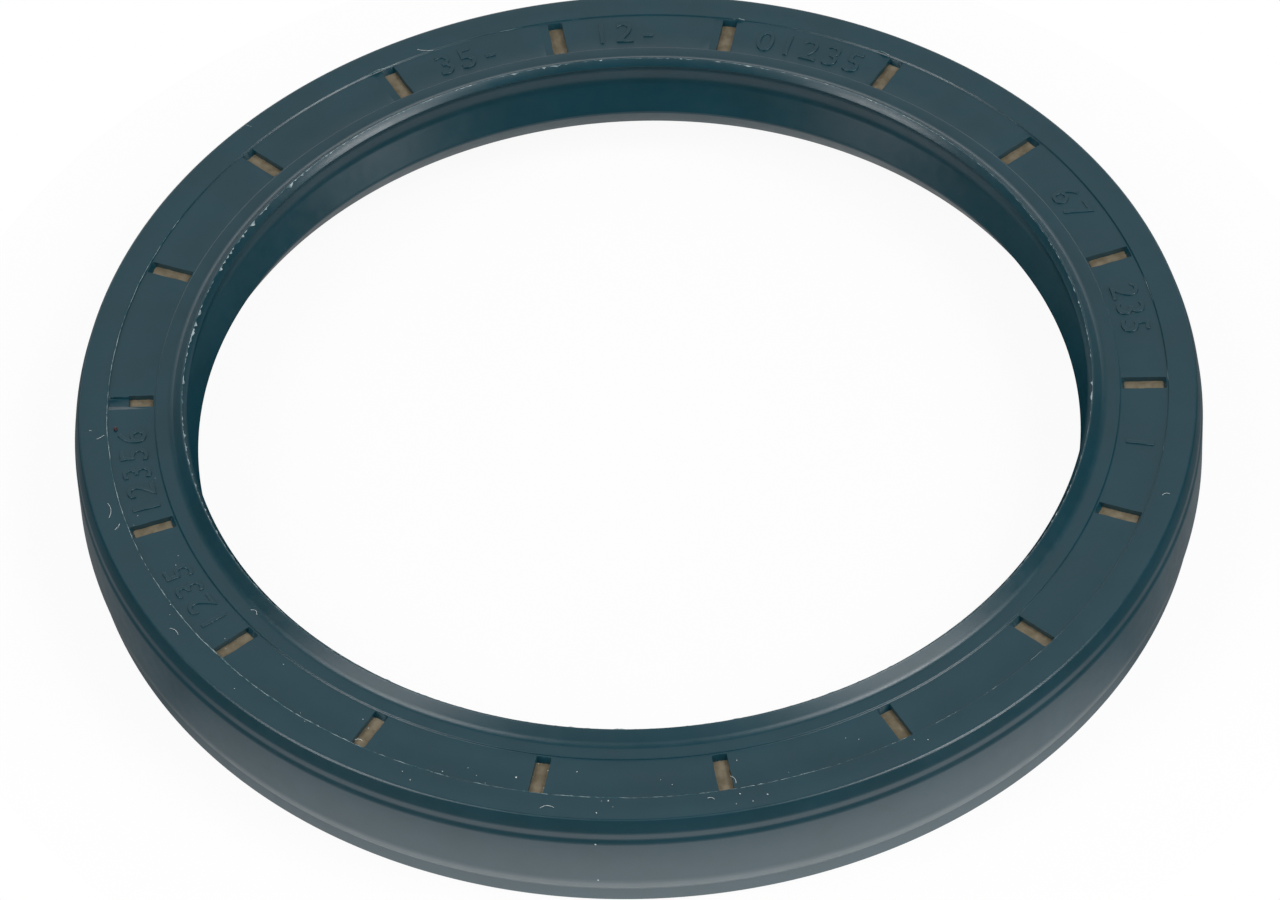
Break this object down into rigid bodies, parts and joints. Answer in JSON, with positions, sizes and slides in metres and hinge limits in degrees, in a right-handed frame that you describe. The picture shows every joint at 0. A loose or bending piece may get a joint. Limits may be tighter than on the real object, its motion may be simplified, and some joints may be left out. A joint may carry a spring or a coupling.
{
  "type": "radial shaft seal",
  "caption": "Rubber-covered rotary shaft seal ring with a spring-loaded sealing lip, a dust lip and a slotted air-side face over its steel case.",
  "frame": {"origin": "on the seal's axis at the bottom face, which is the oil side", "axes": "+Z along the axis towards the slotted air side; +X through the panel beside the slot at -2.8 degrees"},
  "size_m": [0.0754, 0.0754, 0.0088],
  "materials": {
    "seal_rubber": "moulded dark blue-green elastomer, satin, with thin flash along the mould lines",
    "case_steel": "phosphated steel under a tan coat of bonding agent",
    "spring_steel": "bright drawn spring wire"
  },
  "bodies": {
    "root": {"rubber_body": "seal_rubber", "steel_case": "case_steel", "garter_spring": "spring_steel"}
  },
  "joints": []
}
